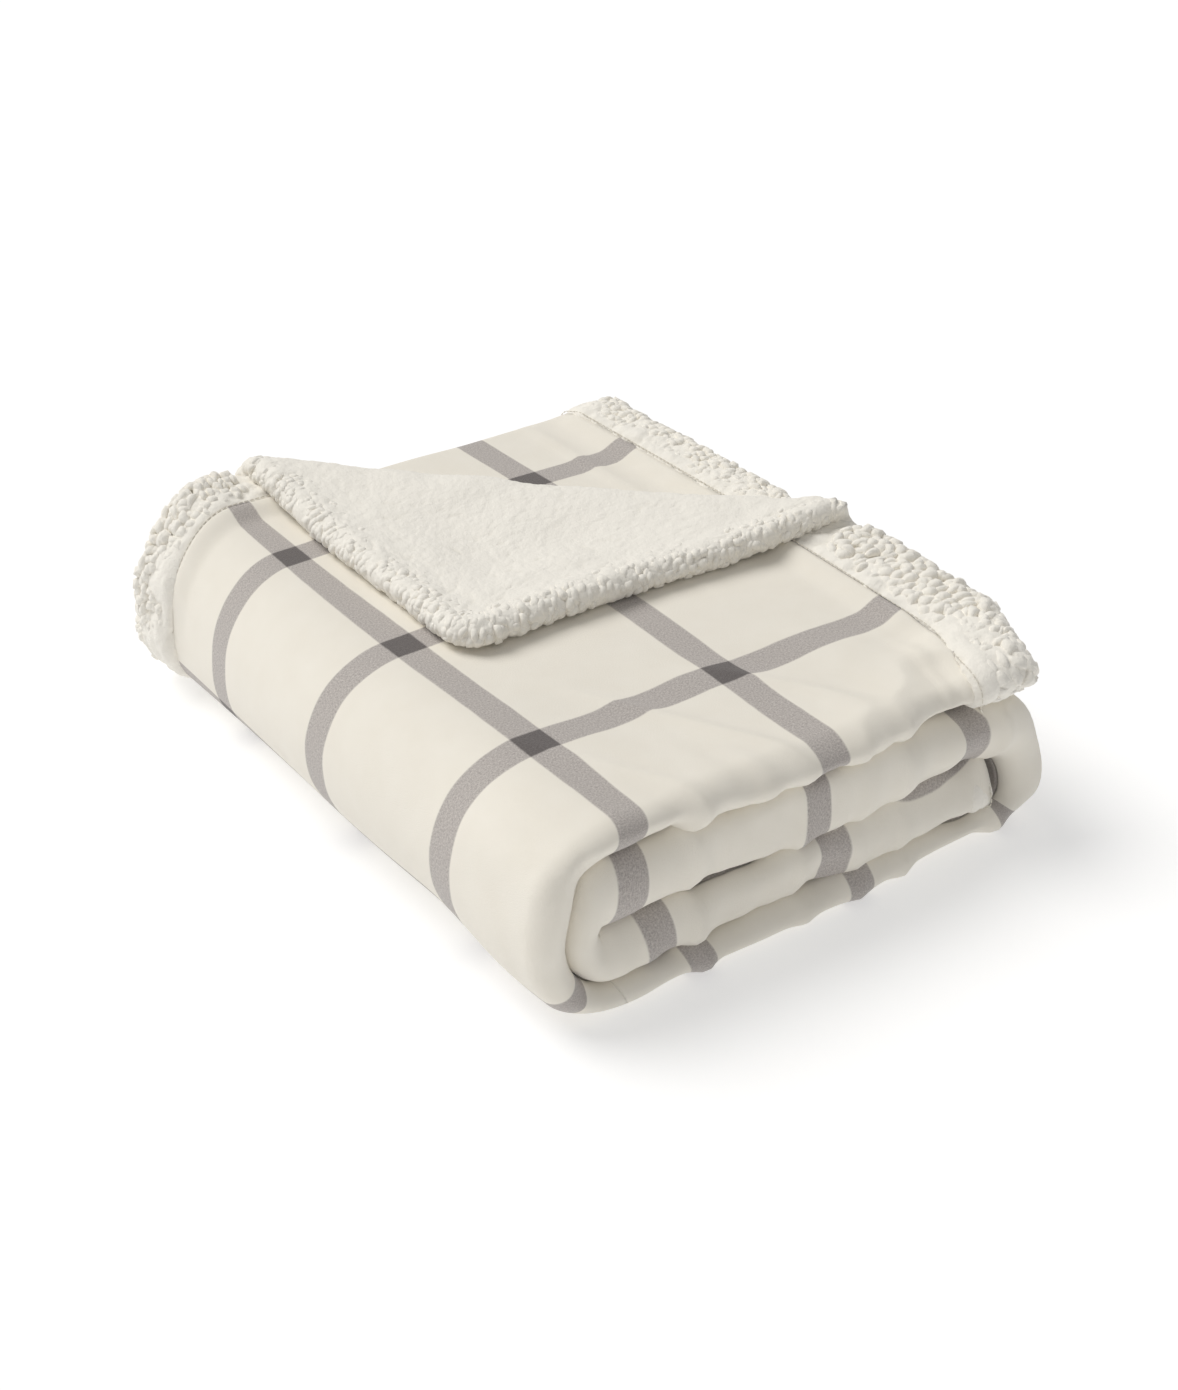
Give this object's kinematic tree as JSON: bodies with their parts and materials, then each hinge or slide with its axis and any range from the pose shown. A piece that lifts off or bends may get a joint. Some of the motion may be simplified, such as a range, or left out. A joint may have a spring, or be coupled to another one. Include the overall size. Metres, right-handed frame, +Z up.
{
  "type": "folded blanket",
  "caption": "Sherpa-backed plaid throw blanket, folded into a flat stack with one corner turned back; the top layer lifts and the corner unfolds.",
  "frame": {"origin": "middle of the folded stack's footprint, on the surface it lies on", "axes": "+Z up; +Y along the layers from the front rolls to the back hem; +X from the left wrap to the right-hand end hem"},
  "size_m": [0.341, 0.4226, 0.1159],
  "materials": {
    "printed_face": "matt brushed weave, cream with grey windowpane stripes",
    "sherpa": "curly off-white sherpa pile",
    "stitching_thread": "matt cream sewing thread"
  },
  "bodies": {
    "lower_stack": {"bottom_back_stitching": "stitching_thread", "bottom_face": "printed_face", "bottom_sherpa": "sherpa", "inner_wrap_back_stitching": "stitching_thread", "inner_wrap_face": "printed_face", "inner_wrap_sherpa": "sherpa", "left_wrap_back_stitching": "stitching_thread", "left_wrap_face": "printed_face", "left_wrap_sherpa": "sherpa", "right_wrap_back_stitching": "stitching_thread", "right_wrap_face": "printed_face", "right_wrap_sherpa": "sherpa", "second_back_stitching": "stitching_thread", "second_face": "printed_face", "second_sherpa": "sherpa", "third_back_stitching": "stitching_thread", "third_end_hem": "sherpa", "third_end_stitching": "stitching_thread", "third_face": "printed_face", "third_sherpa": "sherpa"},
    "top_layer": {"corner_fold_face": "printed_face", "corner_fold_sherpa": "sherpa", "top_back_stitching": "stitching_thread", "top_end_hem": "sherpa", "top_end_stitching": "stitching_thread", "top_face": "printed_face", "top_sherpa": "sherpa"},
    "corner": {"corner_face": "printed_face", "corner_sherpa": "sherpa", "corner_stitching": "stitching_thread"}
  },
  "joints": [
    {"name": "top_layer_lift", "type": "hinge", "parent": "lower_stack", "child": "top_layer", "pos_m": [-0.14876, 0, 0.08536], "axis": [0, -1, 0], "range_deg": [0, 95], "deforming": ["left_wrap_back_stitching", "left_wrap_face", "left_wrap_sherpa"]},
    {"name": "corner_turn", "type": "hinge", "parent": "top_layer", "child": "corner", "pos_m": [0.0455, 0.08625, 0.10725], "axis": [-0.7071, 0.7071, 0], "range_deg": [0, 180], "deforming": ["corner_fold_face", "corner_fold_sherpa"]}
  ]
}
